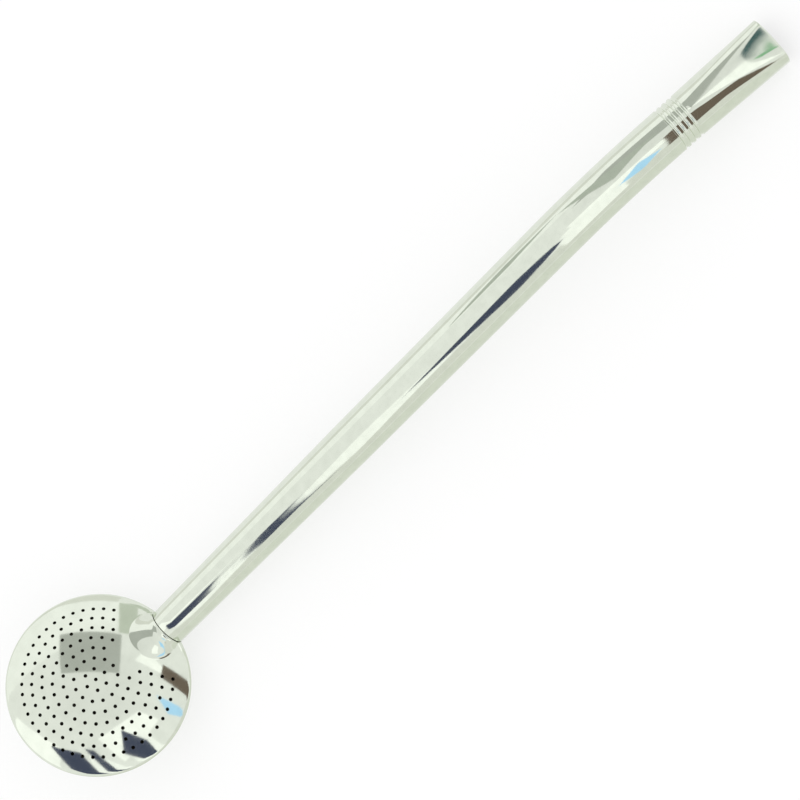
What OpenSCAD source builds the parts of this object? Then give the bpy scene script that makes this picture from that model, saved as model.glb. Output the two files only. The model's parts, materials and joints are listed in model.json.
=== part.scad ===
// A bombilla: a metal straw for mate, with a round perforated strainer at its foot.
// It lies on a table as it is put down: the holes face up, the neck's swelling and the
// lower lip of the mouthpiece touch the table, +X runs from the strainer to the mouth.

/* [Strainer] */
// Diameter of the strainer over its rolled rim
strainer_d = 42; // [38:0.5:50]
// Radius of the domed, perforated front
dome_r = 43.5; // [36:0.5:60]
// Radius of the plain domed back
back_r = 43.5; // [36:0.5:60]
// Thickness of the pressed sheet
sheet_t = 0.5; // [0.4:0.05:0.6]
// Outer radius of the front's edge where it rolls round to the back
rim_roll_r = 0.85; // [0.8:0.05:1.2]
// Width of the hem that grips the back's flange
hem_w = 1.5; // [1:0.1:2.5]
// Gap between the hem's edge and the back's dome
hem_gap = 0.2; // [0.1:0.05:0.5]
// Diameter of the strainer holes
hole_d = 0.85; // [0.5:0.05:1.2]
// Distance between the rings of holes, along the dome
hole_pitch = 2.5; // [2:0.05:2.6]

/* [Neck] */
// Angle between the stem's foot and the strainer's rim
neck_angle = 24; // [16:1:32]
// Distance of the seam with the stem inside the rim
seam_inset = 0.8; // [0.5:0.1:1.5]
// Height of the seam's centre over the rim's middle
neck_rise = 0.25; // [-0.5:0.05:1]
// Outer radius of the round swelling where the neck meets the domes
swell_r = 6.2; // [5.8:0.1:7]
// Distance from the seam to the middle of the swelling
swell_in = 5; // [4:0.1:6]
// Gap that shows as the seam between neck and stem
seam_gap = 0.15; // [0.05:0.05:0.3]
// Clearance of the rim round the stem
rim_clearance = 0.12; // [0.05:0.01:0.3]
// Distance below the hem at which the neck's two halves meet
parting_drop = 0.1; // [0.05:0.05:0.3]

/* [Spigot] */
// Length of the spigot inside the stem
spigot_in_stem = 12; // [8:1:20]
// Length of the spigot inside the neck
spigot_in_neck = 6; // [4:0.5:7]
// Wall of the spigot
spigot_wall = 0.5; // [0.4:0.05:0.7]
// Radial clearance of the push fit
push_fit = 0.03; // [0.01:0.01:0.05]
// Free space past the spigot's end in its socket
socket_end_gap = 0.4; // [0.2:0.1:1]

/* [Stem] */
// Outer diameter at the seam
stem_low_d = 9; // [8.4:0.1:10]
// Outer diameter at the end of the first taper
stem_mid_d = 10.4; // [10.1:0.1:10.8]
// Outer diameter from the bend to the ring band
stem_top_d = 11; // [10.9:0.1:12]
// Wall of the stem
stem_wall = 0.6; // [0.5:0.05:0.8]
// Length of the first taper
taper_length = 60; // [40:1:80]
// Length of the straight run from the seam to the bend
straight_length = 126; // [100:1:150]
// Angle of the bend below the mouthpiece
bend_angle = 16.5; // [8:0.5:24]
// Radius of the bend's centre line
bend_r = 120; // [80:5:160]

/* [Ring band] */
// Number of rolled grooves
groove_count = 4; // [2:1:6]
// Distance between the grooves
groove_pitch = 1.4; // [1.2:0.1:2]
// Radius of the groove's round section
groove_r = 0.55; // [0.4:0.05:0.6]
// Depth of the grooves
groove_depth = 0.25; // [0.15:0.05:0.3]
// Height of the rolled band over the bend
band_step = 0.03; // [0.02:0.01:0.1]

/* [Mouthpiece] */
// Length from the ring band to the tip
mouth_length = 24.5; // [18:0.5:32]
// Width of the tip
mouth_tip_w = 12; // [11.5:0.1:14]
// Height of the flattened tip
mouth_tip_h = 6.8; // [5:0.1:8]
// Depth of the pressed flats where they leave the ring band
flat_sink = 0.05; // [0.03:0.01:0.15]
// Wall of the mouthpiece
mouth_wall = 0.6; // [0.5:0.05:0.8]
// Gap left below the shank, inside the ring band that grips it
shank_end_gap = 0.6; // [0.3:0.1:1.5]
// Wall of the shank
shank_wall = 0.5; // [0.4:0.05:0.7]
// Length of the shoulder between shank and mouth
shoulder_length = 1; // [0.6:0.1:2]

/* [Hidden] */
$fn = 160;
eps = 0.01;
steel = [0.84, 0.86, 0.83];
bright_steel = [0.90, 0.91, 0.89];
inner_steel = [0.70, 0.72, 0.71];

// Strainer shells: the front rolls over the rim without a break in slope
rim_r = strainer_d / 2;
roll_x = rim_r - rim_roll_r;
dome_angle = asin(roll_x / (dome_r - rim_roll_r));
dome_z = -(dome_r - rim_roll_r) * cos(dome_angle);
hem_x = roll_x - hem_w;
flange_z = sheet_t - rim_roll_r;
back_x = hem_x - hem_gap;
back_angle = asin(back_x / back_r);
back_z = flange_z + back_r * cos(back_angle);
// Angle by which a dome's hollow runs past its edge, so that no skin is left between them
hollow_lap = 0.2;

// Rings of holes: two whole ones, then rings that stop either side of the neck
ring_holes = [6, 13, 16, 22, 27, 31, 37];
ring_gap_angle = [0, 0, 37, 29, 33, 36, 38];
hole_reach = roll_x - 2 * rim_roll_r;
hole_cut = 4 * sheet_t;

// Neck and push fit
seam_x = rim_r - seam_inset;
stem_low_r = stem_low_d / 2;
socket_r = stem_low_r - stem_wall;
spigot_r = socket_r - push_fit;
socket_depth = spigot_in_stem + socket_end_gap;
parting_z = -rim_roll_r - parting_drop;
swell_at = [seam_x - swell_in * cos(neck_angle), neck_rise - swell_in * sin(neck_angle)];

// Stem and mouthpiece
stem_mid_r = stem_mid_d / 2;
stem_top_r = stem_top_d / 2;
band_r = stem_top_r + band_step;
band_length = groove_count * groove_pitch;
band_lap = groove_pitch / 4;
mouth_angle = neck_angle - bend_angle;
flat_start_r = band_r - flat_sink;
flat_drop = flat_start_r - mouth_tip_h / 2;
flat_r = (mouth_length * mouth_length + flat_drop * flat_drop) / (2 * flat_drop);
shank_r = band_r - stem_wall;
shank_length = band_length - shank_end_gap;

// Rest on the table: a line that touches the swelling below and the tip's lower lip
bend_start = [seam_x, neck_rise] + straight_length * [cos(neck_angle), sin(neck_angle)];
bend_end = bend_start
    + bend_r * [sin(neck_angle) - sin(mouth_angle), cos(mouth_angle) - cos(neck_angle)];
tip = bend_end + (band_length + mouth_length) * [cos(mouth_angle), sin(mouth_angle)];
tip_low = tip + mouth_tip_h / 2 * [sin(mouth_angle), -cos(mouth_angle)];
lean = tip_low - swell_at;
rest_tilt = atan2(lean[1], lean[0]) + asin(swell_r / norm(lean));
table_z = swell_r + swell_at[0] * sin(rest_tilt) - swell_at[1] * cos(rest_tilt);
left_x = -roll_x * cos(rest_tilt) - rim_roll_r;
right_x = tip[0] * cos(rest_tilt) + tip[1] * sin(rest_tilt)
    + mouth_tip_h / 2 * sin(rest_tilt - mouth_angle);
middle_x = (left_x + right_x) / 2;

// From the strainer's own frame, rim level and centred, to the table
module on_table() {
    translate([-middle_x, 0, table_z])
        rotate([0, rest_tilt, 0])
            children();
}

// Frame of the stem's foot: +Z runs up the stem from the middle of the seam
module on_stem_axis() {
    translate([seam_x, 0, neck_rise])
        rotate([0, 90 - neck_angle, 0])
            children();
}

// Frame past the bend: +Z runs on to the mouth
module past_bend() {
    on_stem_axis()
        translate([bend_r, 0, straight_length])
            rotate([0, bend_angle, 0])
                translate([-bend_r, 0, 0])
                    children();
}

// Slice of a disc from its axis out to an angle, pointing up
module pie(r, angle) {
    intersection() {
        circle(r);
        polygon([[0, 0], [0, 2 * r], [2 * r * sin(angle), 2 * r * cos(angle)]]);
    }
}

// Right half of a disc
module half_disc(r) {
    intersection() {
        circle(r);
        translate([0, -r])
            square([r, 2 * r]);
    }
}

// Section of the front: dome, rolled edge and hem
module front_section() {
    difference() {
        union() {
            translate([0, dome_z]) pie(dome_r, dome_angle);
            translate([roll_x, 0]) half_disc(rim_roll_r);
        }
        translate([0, dome_z]) pie(dome_r - sheet_t, dome_angle + hollow_lap);
        translate([roll_x, 0]) half_disc(rim_roll_r - sheet_t);
    }
    translate([hem_x, -rim_roll_r])
        square([hem_w, sheet_t]);
}

// Section of the back: dome and the flange that lies in the hem
module back_section() {
    translate([0, back_z])
        mirror([0, 1])
            difference() {
                pie(back_r, back_angle);
                pie(back_r - sheet_t, back_angle + hollow_lap);
            }
    translate([back_x - sheet_t, flange_z])
        square([roll_x - back_x + sheet_t, sheet_t]);
}

// Body of the neck, turned about the stem's axis: a swelling and a collar that ends at reach
module neck_form(ball_r, collar_r, reach) {
    on_stem_axis()
        rotate_extrude()
            translate([0, -swell_in]) {
                half_disc(ball_r);
                square([collar_r, swell_in + reach]);
            }
}

// Space inside the neck, open to the spigot
module neck_hollow() {
    neck_form(swell_r - sheet_t, socket_r, stem_low_r);
}

// Room for the foot of the stem past the seam
module stem_room() {
    on_stem_axis()
        cylinder(r = stem_low_r + rim_clearance, h = stem_low_r);
}

// Half of the space about the neck's parting, above it or below
module half_space(above) {
    translate([0, 0, parting_z + (above ? rim_r : -rim_r)])
        cube(2 * [2 * rim_r, 2 * rim_r, rim_r], center = true);
}

module strainer_hole(ring, turn) {
    translate([0, 0, dome_z])
        rotate([0, ring * hole_pitch / dome_r * 180 / PI, turn])
            translate([0, 0, dome_r - hole_cut])
                cylinder(d = hole_d, h = 2 * hole_cut, $fn = 24);
}

module strainer_holes() {
    strainer_hole(0, 0);
    for (ring = [1 : len(ring_holes)]) {
        count = ring_holes[ring - 1];
        gap = ring_gap_angle[ring - 1];
        step = gap > 0 ? (360 - 2 * gap) / (count - 1) : 360 / count;
        if (ring * hole_pitch < hole_reach)
            for (i = [0 : count - 1])
                strainer_hole(ring, gap + i * step);
    }
}

module front_shell() {
    color(steel) on_table() difference() {
        union() {
            difference() {
                rotate_extrude() front_section();
                strainer_holes();
            }
            difference() {
                intersection() {
                    neck_form(swell_r, stem_low_r, 0);
                    half_space(true);
                }
                translate([0, 0, dome_z]) sphere(dome_r - sheet_t / 2);
            }
        }
        neck_hollow();
        stem_room();
    }
}

module back_shell() {
    color(steel) on_table() difference() {
        union() {
            rotate_extrude() back_section();
            difference() {
                intersection() {
                    neck_form(swell_r, stem_low_r, 0);
                    half_space(false);
                }
                translate([0, 0, back_z]) sphere(back_r - sheet_t);
            }
        }
        neck_hollow();
        stem_room();
        intersection() {
            neck_form(swell_r, stem_low_r, 0);
            half_space(true);
        }
    }
}

module spigot() {
    color(inner_steel) on_table() on_stem_axis()
        translate([0, 0, -spigot_in_neck])
            difference() {
                cylinder(r = spigot_r, h = spigot_in_neck + spigot_in_stem);
                translate([0, 0, -eps])
                    cylinder(r = spigot_r - spigot_wall, h = spigot_in_neck + spigot_in_stem + 2 * eps);
            }
}

// Stretch of the bend, turning from the stem towards the mouth
module bend_sweep(r) {
    on_stem_axis()
        translate([bend_r, 0, straight_length])
            rotate([90, 0, 180])
                rotate_extrude(angle = bend_angle)
                    translate([bend_r, 0])
                        circle(r);
}

module stem_outside() {
    on_stem_axis() {
        translate([0, 0, seam_gap])
            cylinder(r1 = stem_low_r, r2 = stem_mid_r, h = taper_length - seam_gap);
        translate([0, 0, taper_length])
            cylinder(r1 = stem_mid_r, r2 = stem_top_r, h = straight_length - taper_length);
    }
    bend_sweep(stem_top_r);
    past_bend()
        translate([0, 0, -band_lap])
            cylinder(r = band_r, h = band_length + band_lap);
}

module stem_inside() {
    on_stem_axis() {
        cylinder(r = socket_r, h = socket_depth);
        translate([0, 0, socket_depth])
            cylinder(r1 = socket_r, r2 = stem_mid_r - stem_wall, h = taper_length - socket_depth);
        translate([0, 0, taper_length])
            cylinder(r1 = stem_mid_r - stem_wall, r2 = stem_top_r - stem_wall, h = straight_length - taper_length);
    }
    bend_sweep(stem_top_r - stem_wall);
    past_bend()
        translate([0, 0, -band_lap])
            cylinder(r = shank_r, h = band_length + 2 * band_lap);
}

module band_grooves() {
    for (i = [0 : groove_count - 1])
        past_bend()
            translate([0, 0, (i + 0.5) * groove_pitch])
                rotate_extrude()
                    translate([band_r + groove_r - groove_depth, 0])
                        circle(groove_r, $fn = 48);
}

module stem_tube() {
    color(bright_steel) on_table() difference() {
        stem_outside();
        stem_inside();
        band_grooves();
    }
}

// The space between the two long curves that the mouth is pressed to
module between_flats(wall) {
    intersection_for(side = [-1, 1])
        translate([side * (flat_r - flat_start_r), 0, 0])
            rotate([90, 0, 0])
                cylinder(r = flat_r - wall, h = 2 * mouth_tip_w, center = true, $fn = 720);
}

// A flared tube pressed flat towards the tip, less a wall on the inside
module mouth_form(wall, length) {
    intersection() {
        cylinder(r1 = band_r - wall, r2 = mouth_tip_w / 2 - wall, h = length);
        between_flats(wall);
    }
}

module mouthpiece() {
    color(bright_steel) on_table() past_bend()
        translate([0, 0, band_length])
            difference() {
                union() {
                    mouth_form(0, mouth_length);
                    translate([0, 0, -shank_length])
                        cylinder(r = shank_r, h = shank_length + shoulder_length);
                }
                translate([0, 0, -shank_length - eps])
                    cylinder(r = shank_r - shank_wall, h = shank_length + shoulder_length + 2 * eps);
                difference() {
                    mouth_form(mouth_wall, mouth_length + eps);
                    translate([0, 0, -eps])
                        cylinder(r = mouth_tip_w, h = shoulder_length + eps);
                }
            }
}

front_shell();
back_shell();
spigot();
stem_tube();
mouthpiece();
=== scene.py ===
# %% [markdown]
# # A polished bombilla, dressed for the camera
# A bombilla is a metal straw for mate: a bent tube, a flattened mouth and a round strainer.
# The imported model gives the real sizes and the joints. This lesson gives it smooth surfaces,
# a mirror finish and a small white studio, because a mirror only looks like what stands round it.

# %% Load the frame
import json
import math
from collections import Counter
import bpy
import numpy as np
from mathutils import Matrix, Vector


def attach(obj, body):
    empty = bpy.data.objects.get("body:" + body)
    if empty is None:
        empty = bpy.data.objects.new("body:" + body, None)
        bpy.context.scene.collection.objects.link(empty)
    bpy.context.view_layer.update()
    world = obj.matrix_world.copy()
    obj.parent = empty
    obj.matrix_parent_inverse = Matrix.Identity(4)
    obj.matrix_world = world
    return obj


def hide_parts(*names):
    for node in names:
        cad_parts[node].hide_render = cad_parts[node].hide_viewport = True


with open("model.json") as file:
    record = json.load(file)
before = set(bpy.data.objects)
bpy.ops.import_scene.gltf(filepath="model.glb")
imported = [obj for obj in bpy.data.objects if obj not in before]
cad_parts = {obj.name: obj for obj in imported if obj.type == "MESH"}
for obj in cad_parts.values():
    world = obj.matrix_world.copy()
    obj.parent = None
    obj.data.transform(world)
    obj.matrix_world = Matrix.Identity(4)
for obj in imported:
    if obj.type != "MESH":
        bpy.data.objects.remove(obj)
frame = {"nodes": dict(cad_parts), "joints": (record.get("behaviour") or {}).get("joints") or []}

bpy.context.view_layer.update()
MM = 0.001

# %% [markdown]
# ## The strainer's own frame
# The strainer is round, so it is easiest to model level and centred, and to tilt when it is done.
# The twist joint gives the middle of the seam and the stem's direction, and these two fix the tilt.

# %% The strainer's frame
NECK_ANGLE = math.radians(24)
SEAM_X, SEAM_Z = 20.2 * MM, 0.25 * MM

twist = next(joint for joint in frame["joints"] if joint["name"] == "strainer_twist")
stem_rise = math.atan2(twist["axis"][2], twist["axis"][0])
tilt = Matrix.Rotation(NECK_ANGLE - stem_rise, 4, "Y")
seam_place = Vector(twist["pos_m"])
STRAINER = Matrix.Translation(seam_place - tilt @ Vector((SEAM_X, 0, SEAM_Z))) @ tilt

# Up the stem from the middle of the seam
to_seam = Matrix.Translation((SEAM_X, 0, SEAM_Z))
STEM = STRAINER @ to_seam @ Matrix.Rotation(math.pi / 2 - NECK_ANGLE, 4, "Y")
print("tilt of the strainer:", round(math.degrees(NECK_ANGLE - stem_rise), 3), "degrees")

# %% [markdown]
# ## Selecting and growing
# Operators act on what is selected, so each piece starts with an empty selection.
# All pieces here are round, so they could be lathed from a drawn outline. Growing a ring of edges
# (extrude it, scale it about its axis, move it along) is the same work, and shows every step.


# %% Helpers to select and grow
def activate(obj):
    """Makes obj the one selected object."""
    if bpy.context.object and bpy.context.object.mode != "OBJECT":
        bpy.ops.object.mode_set(mode="OBJECT")
    bpy.ops.object.select_all(action="DESELECT")
    obj.select_set(True)
    bpy.context.view_layer.objects.active = obj
    return obj


def new_piece(name):
    """Names the primitive that was just added, and puts its place into its mesh."""
    obj = bpy.context.object
    obj.name = name
    obj.data.name = name
    bpy.ops.object.transform_apply(location=True, rotation=True, scale=True)
    return obj


def select_vertices(obj, test):
    """Selects the vertices whose place passes the test, in edit mode."""
    activate(obj)
    bpy.ops.object.mode_set(mode="EDIT")
    bpy.ops.mesh.select_mode(type="VERT")
    bpy.ops.mesh.select_all(action="DESELECT")
    bpy.ops.object.mode_set(mode="OBJECT")
    for vertex in obj.data.vertices:
        vertex.select = test(vertex.co)
    bpy.ops.object.mode_set(mode="EDIT")


def grow_ring(rings):
    """Extrudes the selected ring of edges through (radius, height) pairs, from the first to the last."""
    for (r0, z0), (r1, z1) in zip(rings, rings[1:]):
        bpy.ops.mesh.extrude_region_move()
        if abs(r1 - r0) > 1e-9:
            bpy.ops.transform.resize(value=(r1 / r0, r1 / r0, 1), center_override=(0, 0, 0))
        if abs(z1 - z0) > 1e-9:
            bpy.ops.transform.translate(value=(0, 0, z1 - z0))


print("ready: activate, new_piece, select_vertices, grow_ring")

# %% [markdown]
# ## Walls
# Sheet and tube have two sides. Each surface is modelled once, as the outside that is seen, and a
# modifier then gives it the gauge of the metal, inwards. The inside is never polished, and its colour
# is painted dark as shade, so it gets a material of its own.

# %% Helpers for walls
MERGE_EXACT = 1e-7


def apply_modifier(obj, kind, **settings):
    """Adds a modifier with its settings and applies it."""
    activate(obj)
    modifier = obj.modifiers.new(kind.lower(), kind)
    for key, value in settings.items():
        setattr(modifier, key, value)
    bpy.ops.object.modifier_apply(modifier=modifier.name)


def give_wall(obj, thickness):
    """Gives a surface its wall, inwards. The inside takes the second material."""
    obj.data.materials.append(None)
    obj.data.materials.append(None)
    apply_modifier(
        obj, "SOLIDIFY", thickness=thickness, offset=-1, use_even_offset=True, material_offset=1
    )


def recalculate_normals(obj):
    """Merges doubles and turns all faces outwards."""
    activate(obj)
    bpy.ops.object.mode_set(mode="EDIT")
    bpy.ops.mesh.select_all(action="SELECT")
    bpy.ops.mesh.remove_doubles(threshold=MERGE_EXACT)
    bpy.ops.mesh.normals_make_consistent(inside=False)
    bpy.ops.object.mode_set(mode="OBJECT")


print("ready: apply_modifier, give_wall, recalculate_normals")

# %% [markdown]
# ## Finishing a piece
# A piece is modelled where that is easiest. Its mesh is then moved to its place, so that the object
# itself stays at the origin, and it is shaded smooth with its real edges kept hard.


# %% Helpers to finish a piece
def place(obj, matrix):
    """Moves a finished piece from its own frame to the object's frame, in its mesh."""
    obj.data.transform(matrix)
    obj.data.update()


def smooth(obj, degrees=30):
    """Shades smooth, with hard edges kept where faces meet at more than this angle."""
    activate(obj)
    bpy.ops.object.shade_smooth_by_angle(angle=math.radians(degrees))


def report_piece(obj):
    """Prints how many faces a piece has."""
    print(obj.name, len(obj.data.polygons), "faces")


print("ready: place, smooth, report_piece")

# %% [markdown]
# ## The front of the strainer
# The front is one disc of thin sheet, pressed into a shallow dome, with its edge rolled over the rim.
# A subdivided cage could make the dome too, but a slice of a fine sphere keeps the mirror's reflections
# even. The edge ring is then extruded round the roll and in under the hem.
# The swelling of the neck is pressed from the same sheet, so the dome's points are raised to it with a
# soft blend, which leaves the small fillet that shows round the real neck.

# %% Sizes of the strainer
RIM_R = 21 * MM
DOME_R = 43.5 * MM
ROLL_R = 0.85 * MM
HEM_W = 1.5 * MM
HEM_GAP = 0.2 * MM
SHEET = 0.5 * MM
SWELL_R = 6.2 * MM
SWELL_IN = 5 * MM
COLLAR_R = 4.5 * MM
FILLET = 2 * MM
COLLAR_BLEND = 0.6 * MM

roll_x = RIM_R - ROLL_R
dome_angle = math.asin(roll_x / (DOME_R - ROLL_R))
dome_z = -(DOME_R - ROLL_R) * math.cos(dome_angle)
hem_x = roll_x - HEM_W
swell_x = SEAM_X - SWELL_IN * math.cos(NECK_ANGLE)
swell_z = SEAM_Z - SWELL_IN * math.sin(NECK_ANGLE)
print("dome edge at", round(math.degrees(dome_angle), 2), "degrees")


# %% The neck's height over the rim
def soft_max(a, b, width):
    """The larger of two heights, with a rounded blend where they are closer than the width."""
    share = np.clip(0.5 + 0.5 * (a - b) / width, 0, 1)
    return b + (a - b) * share + width * share * (1 - share)


def neck_top(x, y):
    """Height of the neck's upper side: a ball that runs out into a leaning collar."""
    ball = swell_z + np.sqrt(np.maximum(SWELL_R**2 - (x - swell_x) ** 2 - y**2, 0))
    lean = SEAM_Z + (x - SEAM_X) * math.tan(NECK_ANGLE)
    collar = lean + np.sqrt(np.maximum(COLLAR_R**2 - y**2, 0)) / math.cos(NECK_ANGLE)
    return soft_max(ball, collar, COLLAR_BLEND)


print("the neck rises to", round(float(neck_top(swell_x, 0)) / MM, 2), "mm over the rim")

# %% Dome of the front
DOME_SEGMENTS, DOME_RINGS = 192, 300

bpy.ops.object.select_all(action="DESELECT")
bpy.ops.mesh.primitive_uv_sphere_add(
    segments=DOME_SEGMENTS, ring_count=DOME_RINGS, radius=DOME_R, location=(0, 0, dome_z)
)
front = new_piece("strainer_front")
edge_z = dome_z + DOME_R * math.cos(dome_angle)
bpy.ops.object.mode_set(mode="EDIT")
bpy.ops.mesh.select_all(action="SELECT")
bpy.ops.mesh.bisect(
    plane_co=(0, 0, edge_z), plane_no=(0, 0, 1), clear_inner=True, threshold=MERGE_EXACT
)
bpy.ops.object.mode_set(mode="OBJECT")
report_piece(front)

# %% The neck, pressed up out of the dome
NECK_ZONE = 9 * MM
EDGE_MARGIN = 0.01 * MM
edge_x = DOME_R * math.sin(dome_angle)

# Finer faces where the neck rises
select_vertices(front, lambda p: math.hypot(p.x - swell_x, p.y) < NECK_ZONE)
bpy.ops.mesh.subdivide(number_cuts=1)
bpy.ops.object.mode_set(mode="OBJECT")

points = np.empty(len(front.data.vertices) * 3)
front.data.vertices.foreach_get("co", points)
points = points.reshape(-1, 3)
radial = np.hypot(points[:, 0], points[:, 1])
dome_height = dome_z + np.sqrt(DOME_R**2 - radial**2)
raised = soft_max(neck_top(points[:, 0], points[:, 1]), dome_height, FILLET)
inside = (points[:, 0] > 0) & (radial < edge_x - EDGE_MARGIN)
points[:, 2] = np.where(inside, raised, dome_height)
front.data.vertices.foreach_set("co", points.ravel())
report_piece(front)

# %% Rolled edge, hem and wall of the front
ROLL_STEPS = 12

select_vertices(front, lambda p: math.hypot(p.x, p.y) > edge_x - EDGE_MARGIN)
bpy.ops.mesh.select_mode(type="EDGE")
turns = np.linspace(dome_angle, math.pi, ROLL_STEPS + 1)
roll = [(roll_x + ROLL_R * math.sin(a), ROLL_R * math.cos(a)) for a in turns]
grow_ring(roll + [(hem_x, -ROLL_R)])
bpy.ops.object.mode_set(mode="OBJECT")
recalculate_normals(front)
give_wall(front, SHEET)
recalculate_normals(front)
report_piece(front)

# %% [markdown]
# ## Cutting sheet
# Holes and notches in sheet are punched out. A Boolean takes the punch's volume away in the same way.
# It can leave pairs of faces that lie back to back on a cut's edge, and these are deleted.

# %% Helpers for cutting
MERGE_CUTS = 1e-6


def cut_away(obj, cutter, folded=False):
    """Takes the cutter's volume out of obj, and deletes the cutter. A folded sheet crosses itself."""
    settings = {"operation": "DIFFERENCE", "solver": "EXACT", "use_self": folded}
    apply_modifier(obj, "BOOLEAN", object=cutter, **settings)
    bpy.data.objects.remove(cutter)


def drop_flaps(obj):
    """Cuts all faces to triangles, and deletes pairs that lie back to back and enclose nothing."""
    activate(obj)
    bpy.ops.object.mode_set(mode="EDIT")
    bpy.ops.mesh.select_all(action="SELECT")
    bpy.ops.mesh.remove_doubles(threshold=MERGE_CUTS)
    bpy.ops.mesh.quads_convert_to_tris(quad_method="BEAUTY", ngon_method="BEAUTY")
    bpy.ops.mesh.select_all(action="DESELECT")
    bpy.ops.mesh.select_mode(type="FACE")
    bpy.ops.object.mode_set(mode="OBJECT")
    corners = [tuple(sorted(face.vertices)) for face in obj.data.polygons]
    uses = Counter(corners)
    for face, key in zip(obj.data.polygons, corners):
        face.select = uses[key] > 1
    bpy.ops.object.mode_set(mode="EDIT")
    bpy.ops.mesh.delete(type="FACE")
    bpy.ops.object.mode_set(mode="OBJECT")


print("ready: cut_away, drop_flaps")

# %% [markdown]
# ## The room for the stem, and the holes
# The stem's foot passes the rim, so a cylinder on the stem's axis is cut out past the seam.
# The holes lie in rings: one in the middle, two whole rings, and rings that stop beside the neck.
# Holes painted in the material would be lighter, but would show no wall and no dark inside. So one
# drill is modelled, copied to every place, joined, and cut from the sheet in a single step.

# %% Room for the stem
RIM_CLEARANCE = 0.12 * MM
CUT_LENGTH = 3 * COLLAR_R
CUT_SEGMENTS = 128


def add_stem_cutter():
    """A cylinder on the stem's axis from the seam up, in the strainer's frame."""
    bpy.ops.object.select_all(action="DESELECT")
    bpy.ops.mesh.primitive_cylinder_add(
        vertices=CUT_SEGMENTS,
        radius=COLLAR_R + RIM_CLEARANCE,
        depth=CUT_LENGTH,
        location=(0, 0, CUT_LENGTH / 2),
    )
    cutter = new_piece("cutter")
    place(cutter, STRAINER.inverted() @ STEM)
    return cutter


cut_away(front, add_stem_cutter(), folded=True)
report_piece(front)

# %% Rings of holes
HOLE_D = 0.85 * MM
HOLE_PITCH = 2.5 * MM
# Holes in each ring, and the degrees to each side of the neck that a ring leaves free
RING_HOLES = [6, 13, 16, 22, 27, 31, 37]
RING_GAP = [0, 0, 37, 29, 33, 36, 38]


def hole_places():
    """(ring angle from the top, turn) of every hole."""
    spots = [(0, 0)]
    for ring, (count, gap) in enumerate(zip(RING_HOLES, RING_GAP), start=1):
        step = (360 - 2 * gap) / (count - 1) if gap else 360 / count
        spots += [(ring * HOLE_PITCH / DOME_R, math.radians(gap + i * step)) for i in range(count)]
    return spots


print(len(hole_places()), "holes")

# %% Drilling the holes
DRILL_SEGMENTS = 20

bpy.ops.object.select_all(action="DESELECT")
bpy.ops.mesh.primitive_cylinder_add(
    vertices=DRILL_SEGMENTS, radius=HOLE_D / 2, depth=4 * SHEET, location=(0, 0, DOME_R)
)
drill = new_piece("drill")
drills = []
for lean, turn in hole_places():
    copy = drill.copy()
    copy.data = drill.data.copy()
    bpy.context.scene.collection.objects.link(copy)
    turned = Matrix.Rotation(turn, 4, "Z") @ Matrix.Rotation(lean, 4, "Y")
    place(copy, Matrix.Translation((0, 0, dome_z)) @ turned)
    drills.append(copy)
bpy.data.objects.remove(drill)
activate(drills[0])
for copy in drills:
    copy.select_set(True)
bpy.ops.object.join()
cut_away(front, drills[0])
drop_flaps(front)
place(front, STRAINER)
smooth(front)
report_piece(front)

# %% [markdown]
# ## The back of the strainer
# The back is a plain dome whose flat edge lies in the front's hem. The lower half of the neck hangs
# from it: a ball that runs out into the collar. It is a slice of a sphere with its edge ring drawn
# out past the seam, cut level where it meets the front's half. Two hollow shells would meet in faces
# that lie in one place, so it is joined while solid, then hollowed and trimmed at the seam.

# %% Sizes of the back
BACK_R = 43.5 * MM
flange_z = SHEET - ROLL_R
back_x = hem_x - HEM_GAP
back_angle = math.asin(back_x / BACK_R)
back_z = flange_z + BACK_R * math.cos(back_angle)
print("back dome edge at", round(math.degrees(back_angle), 2), "degrees")

# %% Dome and flange of the back
BACK_SEGMENTS, BACK_RINGS = 128, 200

bpy.ops.object.select_all(action="DESELECT")
bpy.ops.mesh.primitive_uv_sphere_add(
    segments=BACK_SEGMENTS, ring_count=BACK_RINGS, radius=BACK_R, location=(0, 0, back_z)
)
back = new_piece("strainer_back")
bpy.ops.object.mode_set(mode="EDIT")
bpy.ops.mesh.select_all(action="SELECT")
bpy.ops.mesh.bisect(
    plane_co=(0, 0, flange_z), plane_no=(0, 0, 1), clear_outer=True, threshold=MERGE_EXACT
)
bpy.ops.object.mode_set(mode="OBJECT")
select_vertices(back, lambda p: math.hypot(p.x, p.y) > back_x - EDGE_MARGIN)
bpy.ops.mesh.select_mode(type="EDGE")
grow_ring([(back_x, flange_z), (roll_x, flange_z)])
bpy.ops.object.mode_set(mode="OBJECT")
recalculate_normals(back)
give_wall(back, SHEET)
recalculate_normals(back)
report_piece(back)

# %% The neck as a turned body
NECK_SEGMENTS, NECK_RINGS = 128, 96
COLLAR_FLARE = 0.25 * MM
COLLAR_STEPS = 8
RING_MARGIN = 0.001 * MM


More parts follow.
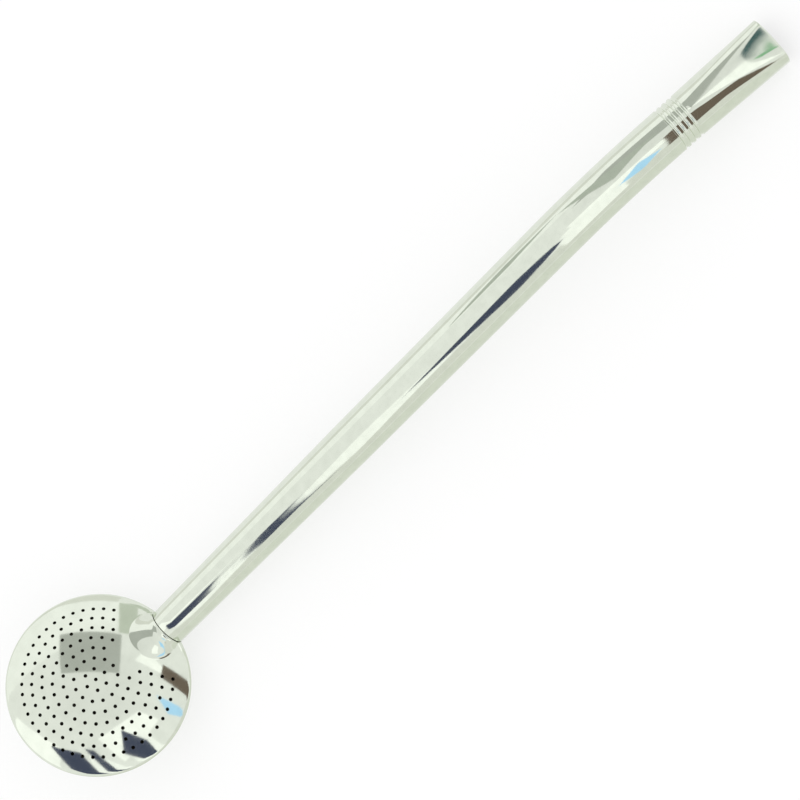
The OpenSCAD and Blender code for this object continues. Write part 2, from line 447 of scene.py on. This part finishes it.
def add_neck_body(name, ball_r, collar_r, end):
    """The neck as a turned body on the stem's axis, in the strainer's frame."""
    bpy.ops.object.select_all(action="DESELECT")
    bpy.ops.mesh.primitive_uv_sphere_add(
        segments=NECK_SEGMENTS, ring_count=NECK_RINGS, radius=ball_r, location=(0, 0, -SWELL_IN)
    )
    body = new_piece(name)
    join_z = -SWELL_IN + math.sqrt(ball_r**2 - (collar_r + COLLAR_FLARE) ** 2)
    bpy.ops.object.mode_set(mode="EDIT")
    bpy.ops.mesh.select_all(action="SELECT")
    bpy.ops.mesh.bisect(
        plane_co=(0, 0, join_z), plane_no=(0, 0, 1), clear_outer=True, threshold=MERGE_EXACT
    )
    bpy.ops.object.mode_set(mode="OBJECT")
    select_vertices(body, lambda p: p.z > join_z - RING_MARGIN)
    bpy.ops.mesh.select_mode(type="EDGE")
    steps = np.linspace(0, 1, COLLAR_STEPS + 1)
    rings = [(collar_r + COLLAR_FLARE * (1 - t) ** 3, join_z * (1 - t)) for t in steps]
    grow_ring(rings + [(collar_r, end)])
    bpy.ops.mesh.edge_face_add()
    bpy.ops.object.mode_set(mode="OBJECT")
    recalculate_normals(body)
    place(body, STRAINER.inverted() @ STEM)
    return body


neck = add_neck_body("neck", SWELL_R, COLLAR_R, SHEET)
report_piece(neck)

# %% The lower half of the neck
PARTING_Z = -0.95 * MM

activate(neck)
bpy.ops.object.mode_set(mode="EDIT")
bpy.ops.mesh.select_all(action="SELECT")
bpy.ops.mesh.bisect(
    plane_co=(0, 0, PARTING_Z),
    plane_no=(0, 0, 1),
    clear_outer=True,
    use_fill=True,
    threshold=MERGE_EXACT,
)
bpy.ops.object.mode_set(mode="OBJECT")
apply_modifier(back, "BOOLEAN", operation="UNION", solver="EXACT", object=neck)
bpy.data.objects.remove(neck)
cut_away(back, add_neck_body("cutter", SWELL_R - SHEET, COLLAR_R - SHEET, CUT_LENGTH))
cut_away(back, add_stem_cutter())
drop_flaps(back)
place(back, STRAINER)
smooth(back)
report_piece(back)

# %% [markdown]
# ## The stem
# The stem is drawn tube: it widens in two tapers, bends below the mouth and ends in a rolled band.
# A curve with a bevel could make the tube, but not its tapers and grooves so exactly. So a ring of
# edges is grown up the tapers and spun round the bend. The band is grown on its own, and joined on.

# %% Sizes of the stem
STEM_LOW_R, STEM_MID_R, STEM_TOP_R = 4.5 * MM, 5.2 * MM, 5.5 * MM
STEM_WALL = 0.6 * MM
SEAM_GAP = 0.15 * MM
TAPER, STRAIGHT = 60 * MM, 126 * MM
BEND_ANGLE = math.radians(16.5)
BEND_R = 120 * MM
GROOVES = 4
GROOVE_PITCH = 1.4 * MM
GROOVE_R = 0.55 * MM
GROOVE_DEPTH = 0.25 * MM
BAND_STEP = 0.03 * MM
BAND_R = STEM_TOP_R + BAND_STEP

bend_turn = (
    Matrix.Translation((BEND_R, 0, STRAIGHT))
    @ Matrix.Rotation(BEND_ANGLE, 4, "Y")
    @ Matrix.Translation((-BEND_R, 0, 0))
)
band_length = GROOVES * GROOVE_PITCH
MOUTH = STEM @ bend_turn @ Matrix.Translation((0, 0, band_length))
print("the mouth starts at", [round(c / MM, 1) for c in MOUTH.translation], "mm")

# %% The stem's tube
RING_SEGMENTS = 128
TAPER_STEPS = np.linspace(0.05, 1, 20)
BEND_STEPS = 36
EDGE_ROUND = 0.12 * MM
ROUND_STEPS = 5


def add_ring(name, radius, z):
    """A ring of edges round the Z axis, selected in edit mode."""
    bpy.ops.object.select_all(action="DESELECT")
    bpy.ops.mesh.primitive_circle_add(vertices=RING_SEGMENTS, radius=radius, location=(0, 0, z))
    ring = new_piece(name)
    bpy.ops.object.mode_set(mode="EDIT")
    bpy.ops.mesh.select_all(action="SELECT")
    bpy.ops.mesh.select_mode(type="EDGE")
    return ring


stem = add_ring("stem", STEM_LOW_R - EDGE_ROUND, SEAM_GAP)
foot = [
    (STEM_LOW_R - EDGE_ROUND * (1 - math.sin(a)), SEAM_GAP + EDGE_ROUND * (1 - math.cos(a)))
    for a in np.linspace(0, math.pi / 2, ROUND_STEPS)
]
taper_1 = [(STEM_LOW_R + (STEM_MID_R - STEM_LOW_R) * t, TAPER * t) for t in TAPER_STEPS]
taper_2 = [
    (STEM_MID_R + (STEM_TOP_R - STEM_MID_R) * t, TAPER + (STRAIGHT - TAPER) * t) for t in TAPER_STEPS
]
grow_ring(foot + taper_1 + taper_2)
bpy.ops.mesh.spin(steps=BEND_STEPS, angle=BEND_ANGLE, center=(BEND_R, 0, STRAIGHT), axis=(0, -1, 0))
bpy.ops.object.mode_set(mode="OBJECT")
report_piece(stem)

# %% The grooved band and the wall
GROOVE_STEPS = np.linspace(-1, 1, 9)

band = add_ring("band", STEM_TOP_R, 0)
groove_half = math.sqrt(GROOVE_R**2 - (GROOVE_R - GROOVE_DEPTH) ** 2)
band_rings = [(STEM_TOP_R, 0), (BAND_R, BAND_STEP)]
for groove in range(GROOVES):
    middle = (groove + 0.5) * GROOVE_PITCH
    for t in GROOVE_STEPS:
        dip = math.sqrt(GROOVE_R**2 - (t * groove_half) ** 2) - (GROOVE_R - GROOVE_DEPTH)
        band_rings.append((BAND_R - dip, middle + t * groove_half))
grow_ring(band_rings + [(BAND_R, band_length)])
bpy.ops.object.mode_set(mode="OBJECT")
place(band, bend_turn)
activate(stem)
band.select_set(True)
bpy.ops.object.join()
recalculate_normals(stem)
give_wall(stem, STEM_WALL)
place(stem, STEM)
smooth(stem)
report_piece(stem)

# %% [markdown]
# ## The mouthpiece
# The mouth is a short flared tube, pressed flat towards its end. It plugs into the band with a shank.
# The flare is grown as a cone of rings. Then the top and the bottom are pressed to two long flats,
# with a soft edge where the flats run into the round sides, and the lip is cut slightly round.
# A loft from a circle to the flat end would hide how the real tube is pressed.

# %% Sizes of the mouthpiece
MOUTH_LENGTH = 24.5 * MM
TIP_HALF_W, TIP_HALF_H = 6 * MM, 3.4 * MM
MOUTH_WALL = 0.6 * MM
SHANK_R, SHANK_LENGTH = 4.9 * MM, 5 * MM
LIP_ROUND = 0.25 * MM
FLAT_BITE = 0.05 * MM

flat_start = BAND_R - FLAT_BITE
flat_drop = flat_start - TIP_HALF_H
flat_r = (MOUTH_LENGTH**2 + flat_drop**2) / (2 * flat_drop)
print("the flats are pressed to a curve of", round(flat_r / MM, 1), "mm")

# %% Flare of the mouthpiece
FLARE_STEPS = np.linspace(0, 1, 60)

mouth = add_ring("mouth_tube", SHANK_R, -SHANK_LENGTH)
shank = [(SHANK_R, -SHANK_LENGTH), (SHANK_R, 0)]
flare = [(BAND_R + (TIP_HALF_W - BAND_R) * t, MOUTH_LENGTH * t) for t in FLARE_STEPS]
grow_ring(shank + flare)
bpy.ops.object.mode_set(mode="OBJECT")
report_piece(mouth)

# %% Flats of the mouthpiece
# The soft edge of a flat widens towards the lip
FLAT_EDGE = 2 * MM
FLAT_EDGE_LEAST = 0.01 * MM

points = np.empty(len(mouth.data.vertices) * 3)
mouth.data.vertices.foreach_get("co", points)
points = points.reshape(-1, 3)
along = np.clip(points[:, 2] / MOUTH_LENGTH, 0, 1)
flat_height = flat_start - flat_r + np.sqrt(flat_r**2 - (along * MOUTH_LENGTH) ** 2)
pressed = -soft_max(-np.abs(points[:, 0]), -flat_height, FLAT_EDGE * along + FLAT_EDGE_LEAST)
points[:, 0] = np.where(points[:, 2] > 0, np.sign(points[:, 0]) * pressed, points[:, 0])
points[:, 2] -= LIP_ROUND * (points[:, 1] / TIP_HALF_W) ** 2 * along**2
mouth.data.vertices.foreach_set("co", points.ravel())
recalculate_normals(mouth)
report_piece(mouth)

# %% Wall and lip of the mouthpiece
LIP_BEVEL = 0.16 * MM
LIP_MARGIN = 0.05 * MM

give_wall(mouth, MOUTH_WALL)
# A rounded lip: the end faces are selected, and the loops round them bevelled
select_vertices(mouth, lambda p: p.z > MOUTH_LENGTH - LIP_ROUND - LIP_MARGIN)
bpy.ops.mesh.select_mode(type="FACE")
bpy.ops.mesh.region_to_loop()
bpy.ops.mesh.bevel(offset=LIP_BEVEL, segments=3)
bpy.ops.object.mode_set(mode="OBJECT")
place(mouth, MOUTH)
smooth(mouth)
report_piece(mouth)

# %% [markdown]
# ## Which body each piece rides on
# The strainer's two halves are held by their hem and move as one. The stem and its mouth are another
# body. The spigot between them is hidden at rest, and its shape is right as it is, so the imported piece
# is kept.

# %% Riding and replacing, with a slot name that is not used
for piece, body, node, slot in (
    (front, "head", "front_shell", "strainer_steel"),
    (back, "head", "back_shell", "strainer_steel"),
    (stem, "stem", "stem_tube", "stem_steel"),
    (mouth, "stem", "mouthpiece", "stem_steel"),
):
    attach(piece, body)
    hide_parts(node)
    print(piece.name, "rides on", body)

# %% [markdown]
# ## The steel
# All of it is stainless steel. Polishing leaves a mirror that is not quite even: it is a little
# duller and darker in patches and slightly wavy, which breaks up the reflections on the real piece.
# A painted picture could do that, but two noises at real sizes do it on every side, with no seam.


# %% Helpers for nodes
def linear(code):
    """Linear colour from a hex code."""
    parts = [int(code[i : i + 2], 16) / 255 for i in (1, 3, 5)]
    return [c / 12.92 if c <= 0.04045 else ((c + 0.055) / 1.055) ** 2.4 for c in parts] + [1]


def add_node(tree, kind, inputs=None, **settings):
    """Adds a node with its settings; an input is a value or the socket that feeds it."""
    node = tree.nodes.new(kind)
    for key, value in settings.items():
        setattr(node, key, value)
    for key, value in (inputs or {}).items():
        if isinstance(value, bpy.types.NodeSocket):
            tree.links.new(value, node.inputs[key])
        else:
            node.inputs[key].default_value = value
    return node


def new_tree(name):
    """An empty material and its node tree."""
    material = bpy.data.materials.new(name)
    material.use_nodes = True
    material.node_tree.nodes.clear()
    return material, material.node_tree


def dress(obj, *materials):
    """Gives obj its materials, in the order of its slots."""
    while len(obj.data.materials) < len(materials):
        obj.data.materials.append(None)
    for index, material in enumerate(materials):
        obj.data.materials[index] = material


print("ready: linear, add_node, new_tree, dress")

# %% Steel
# Where the noise of the patches turns from bright to dim
TONE_STOPS = (0.35, 0.7)


def steel(name, bright, dim, dull, patch, wave, wave_height):
    """Steel: dull is the (least, most) roughness; patch, wave and wave_height are in mm."""
    material, tree = new_tree(name)
    spot = add_node(tree, "ShaderNodeTexCoord").outputs["Object"]
    patches = add_node(
        tree, "ShaderNodeTexNoise", {"Vector": spot, "Scale": 1 / (patch * MM), "Detail": 4.0}
    )
    rough = add_node(
        tree,
        "ShaderNodeMapRange",
        {"Value": patches.outputs["Fac"], "To Min": dull[0], "To Max": dull[1]},
    )
    tone = add_node(tree, "ShaderNodeValToRGB", {"Fac": patches.outputs["Fac"]})
    for stop, code, position in zip(tone.color_ramp.elements, (bright, dim), TONE_STOPS):
        stop.color = linear(code)
        stop.position = position
    waves = add_node(
        tree, "ShaderNodeTexNoise", {"Vector": spot, "Scale": 1 / (wave * MM), "Detail": 1.0}
    )
    bump = add_node(
        tree,
        "ShaderNodeBump",
        {"Height": waves.outputs["Fac"], "Distance": wave_height * MM, "Strength": 1.0},
    )
    shader = add_node(
        tree,
        "ShaderNodeBsdfPrincipled",
        {
            "Base Color": tone.outputs["Color"],
            "Metallic": 1.0,
            "Roughness": rough.outputs["Result"],
            "Normal": bump.outputs["Normal"],
        },
    )
    add_node(tree, "ShaderNodeOutputMaterial", {"Surface": shader.outputs["BSDF"]})
    return material


# Pressed sheet, mirror polished: clear reflections, bent by wide soft waves from the press
strainer_steel = steel(
    "stainless_steel_pressed_polished", "#DEE4D7", "#D8DED1", (0.04, 0.1), 3, 9, 0.02
)
# Drawn tube, mirror polished: clear streaks along the tube, a little uneven at their ends
tube_steel = steel("stainless_steel_drawn_polished", "#DEE4D7", "#D8DED1", (0.04, 0.1), 2, 7, 0.015)
# Drawn tube inside the joint, left as drawn: grey, with a blurred shine
spigot_steel = steel("stainless_steel_as_drawn", "#C9CBC8", "#BDBFBB", (0.25, 0.4), 1, 5, 0.01)
# Inside walls, never polished, so dull; their dark brown colour is painted shade, so they read dark
# through the holes
inside_steel_painted_shade = steel(
    "stainless_steel_inside_painted_shade", "#665E52", "#4E4438", (0.4, 0.6), 2, 5, 0.01
)
print("steel:", [m.name for m in (strainer_steel, tube_steel, spigot_steel, inside_steel_painted_shade)])

# %% Dressing the pieces
for piece in (front, back):
    dress(piece, strainer_steel, inside_steel_painted_shade)
for piece in (stem, mouth):
    dress(piece, tube_steel, inside_steel_painted_shade)
dress(frame["nodes"]["spigot"], spigot_steel)
print("steel on", [obj.name for obj in (front, back, stem, mouth)], "and the spigot")

# %% [markdown]
# ## The white studio
# The piece lies on a white floor under a nearly even white sky. Each lamp would show as a spot in the
# mirror, so the sky alone gives the light. The floor is a grey paper, lifted to white where it is seen,
# straight or in the mirror. So the shadow on it stays soft, and the lift itself lights nothing.

# %% Floor
FLOOR_SIZE = 6
FLOOR_GAP = 0.05 * MM
FLOOR_LIFT = 0.61

bpy.ops.object.select_all(action="DESELECT")
bpy.ops.mesh.primitive_plane_add(size=FLOOR_SIZE, location=(0, 0, -FLOOR_GAP))
floor = new_piece("floor")
floor_paint, floor_tree = new_tree("white_floor_paper")
matt = add_node(floor_tree, "ShaderNodeBsdfDiffuse", {"Color": linear("#AAAAAA")})
rays = add_node(floor_tree, "ShaderNodeLightPath")
seen = rays.outputs["Is Camera Ray"]
for ray in ("Is Glossy Ray", "Is Transmission Ray"):
    sides = {0: seen, 1: rays.outputs[ray]}
    seen = add_node(floor_tree, "ShaderNodeMath", sides, operation="MAXIMUM").outputs["Value"]
lift = add_node(floor_tree, "ShaderNodeMath", {0: seen, 1: FLOOR_LIFT}, operation="MULTIPLY")
white = add_node(floor_tree, "ShaderNodeEmission", {"Strength": lift.outputs["Value"]})
both = add_node(
    floor_tree, "ShaderNodeAddShader", {0: matt.outputs["BSDF"], 1: white.outputs["Emission"]}
)
add_node(floor_tree, "ShaderNodeOutputMaterial", {"Surface": both.outputs["Shader"]})
dress(floor, floor_paint)
print("floor of", FLOOR_SIZE, "m")

# %% Sky
# The ceiling over the strainer is a little darker than the rest
SKY_LEVEL, CEILING_LEVEL = 1.02, 0.94
CEILING_AIM = (0.37, 0.15, 0.92)
CEILING_REACH = 0.8

sky = bpy.data.worlds.new("white_sky")
bpy.context.scene.world = sky
sky.use_nodes = True
sky_tree = sky.node_tree
sky_tree.nodes.clear()
aim = add_node(sky_tree, "ShaderNodeTexCoord").outputs["Generated"]
near = add_node(sky_tree, "ShaderNodeVectorMath", {0: aim, 1: CEILING_AIM}, operation="DOT_PRODUCT")
level = add_node(
    sky_tree,
    "ShaderNodeMapRange",
    {
        "Value": near.outputs["Value"],
        "From Min": CEILING_REACH,
        "From Max": 1.0,
        "To Min": SKY_LEVEL,
        "To Max": CEILING_LEVEL,
    },
    interpolation_type="SMOOTHSTEP",
)
glow = add_node(
    sky_tree, "ShaderNodeBackground", {"Color": linear("#FFFFFF"), "Strength": level.outputs["Result"]}
)
add_node(sky_tree, "ShaderNodeOutputWorld", {"Surface": glow.outputs["Background"]})
print("sky from", CEILING_LEVEL, "to", SKY_LEVEL)

# %% [markdown]
# ## Cards for the mirror
# A mirror under plain white would have no form. In a studio, plain white, grey and dark cards are
# stood round such a piece, and their reflections draw its shape. A picture wrapped round the scene
# could do it too, but each card can be set exactly where a streak on the piece mirrors it to the eye.
# The mirror alone sees the cards: they give no light and no shadow.

# %% One card
# The point that the front of a one-sided card looks at
CARDS_FACE = Vector((20, 0, 10)) * MM


def add_card(name, colour, strength, corners, one_sided=False):
    """A plain card with four corners in mm, in order; a one-sided one is clear from behind."""
    bpy.ops.object.select_all(action="DESELECT")
    bpy.ops.mesh.primitive_plane_add(size=1)
    card = new_piece(name)
    for vertex, corner in zip((0, 1, 3, 2), corners):
        card.data.vertices[vertex].co = Vector(corner) * MM
    paint, tree = new_tree(name + "_card")
    light = add_node(tree, "ShaderNodeEmission", {"Color": linear(colour), "Strength": strength})
    surface = light.outputs["Emission"]
    if one_sided:
        card.data.update()
        face = card.data.polygons[0]
        if face.normal.dot(CARDS_FACE - face.center) < 0:
            face.flip()
        side = add_node(tree, "ShaderNodeNewGeometry").outputs["Backfacing"]
        clear = add_node(tree, "ShaderNodeBsdfTransparent").outputs["BSDF"]
        mix = add_node(tree, "ShaderNodeMixShader", {0: side, 1: surface, 2: clear})
        surface = mix.outputs["Shader"]
    add_node(tree, "ShaderNodeOutputMaterial", {"Surface": surface})
    dress(card, paint)
    card.visible_camera = False
    card.visible_diffuse = False
    card.visible_shadow = False
    card.visible_transmission = False


print("ready: add_card")

# %% All the cards
CARDS = [
    # Walls of the room
    ("wall_far", "#F0F0EC", 1, [(-700, 700, 0), (700, 700, 0), (700, 700, 390), (-700, 700, 390)]),
    ("wall_near", "#F4F4F0", 0.96,
     [(-600, -600, 0), (800, -600, 0), (800, -600, 400), (-600, -600, 400)]),
    # Over the strainer
    ("grey_panel", "#C1C3C0", 1, [(85, 475, 355), (370, 250, 320), (275, 70, 490), (-5, 305, 535)]),
    ("olive_neck", "#D5DBD0", 1, [(370, 395, 120), (430, 320, 90), (420, 195, 285), (360, 270, 315)]),
    ("white_front", "#FFFFFF", 1.3,
     [(-80, -220, 790), (315, -260, 660), (365, -405, 545), (-65, -490, 660)]),
    ("white_left", "#FFFFFF", 1.3,
     [(-430, 330, 560), (-330, -60, 700), (-520, -180, 560), (-640, 250, 420)]),
    # Along the tube
    ("white_strip", "#FFFFFF", 1.13,
     [(-500, 520, 150), (700, 520, 150), (700, 520, 540), (-500, 520, 540)]),
    ("white_streak", "#FFFFFF", 1.25,
     [(-250, -205, 405), (-205, -180, 425), (-200, -350, 305), (-235, -425, 170)]),
    ("white_lens", "#FFFFFF", 1.25,
     [(-205, -205, 415), (-165, -130, 450), (-85, -330, 350), (-155, -430, 190)]),
    ("navy_low", "#4A5068", 1,
     [(-205, 5, 250), (-155, -65, 245), (-155, -180, 175), (-200, -125, 210)]),
    ("navy_mid", "#4A5068", 1,
     [(-139, -65, 245), (-124, -85, 240), (-119, -210, 145), (-134, -210, 140)]),
    ("navy_tail", "#4A5068", 1,
     [(-124, -85, 240), (-114, -205, 150), (-99, -230, 110), (-119, -210, 145)]),
    ("navy_high", "#4A5068", 1, [(-75, -145, 220), (-30, -100, 245), (0, -170, 210), (-25, -225, 135)]),
    ("grey_floor", "#EDEFE8", 1,
     [(-160, -8, 0.1), (160, -8, 0.1), (160, -250, 0.1), (-160, -250, 0.1)]),
    # Over the bend and the mouth
    ("white_bend", "#FFFFFF", 1.25,
     [(-45, -225, 435), (110, -245, 430), (80, -465, 145), (-35, -460, 130)]),
    ("blue_bend", "#A9D2F5", 1.4,
     [(79, -142, 161), (109, -89, 194), (123, -153, 141), (96, -180, 107)]),
    ("white_mouth", "#FFFFFF", 1.3,
     [(185, 45, 240), (245, 55, 210), (250, -115, 185), (220, -15, 230)]),
    ("brown_mouth", "#77695F", 1, [(128, -50, 155), (180, -25, 150), (165, -145, 65), (113, -140, 85)]),
    ("teal_mouth", "#4F6B6E", 1, [(245, 70, 208), (245, 55, 208), (275, 60, 188), (265, 105, 183)]),
    ("green_mouth", "#8FC49A", 1, [(250, 50, 205), (255, 40, 205), (275, 45, 190), (270, 55, 190)]),
]
# These two shade the bend alone: the strainer sees them from behind
BEND_CARDS = [
    ("grey_bend", "#C4C9C2", 1, [(41, 77, 60), (85, 53, 94), (115, 40, 116), (75, -7, 86)]),
    ("grey_tail", "#C4C9C2", 1, [(11, 26, 38), (20, 77, 45), (40, 90, 60), (27, 40, 50)]),
]
for card in CARDS:
    add_card(*card)
for card in BEND_CARDS:
    add_card(*card, one_sided=True)
print(len(CARDS) + len(BEND_CARDS), "cards")

# %% [markdown]
# ## The camera
# The photograph is taken from nearly overhead with a long lens, turned so that the straw lies from the
# lower left corner to the upper right one. The place and the lens come from fitting the rim, the rings
# of holes and the tube's edges to the picture, which is surer than moving a camera by eye.

# %% Camera
CAMERA_PLACE = (182.39, -209.32, 896.66)
CAMERA_TURN = (1.804, 17.261, -42.752)
LENS, SENSOR = 188.66, 36
NEAREST = 10 * MM

camera_data = bpy.data.cameras.new("camera")
camera_data.lens = LENS
camera_data.sensor_width = SENSOR
camera_data.clip_start = NEAREST
camera = bpy.data.objects.new("camera", camera_data)
bpy.context.scene.collection.objects.link(camera)
camera.location = Vector(CAMERA_PLACE) * MM
camera.rotation_euler = [math.radians(a) for a in CAMERA_TURN]
bpy.context.scene.camera = camera
bpy.context.scene.view_settings.view_transform = "Standard"
print("camera at", CAMERA_PLACE, "mm with a lens of", LENS, "mm")

# %% [markdown]
# Dressing must not change the object's size.

# %% Updating the scene
bpy.context.view_layer.update()
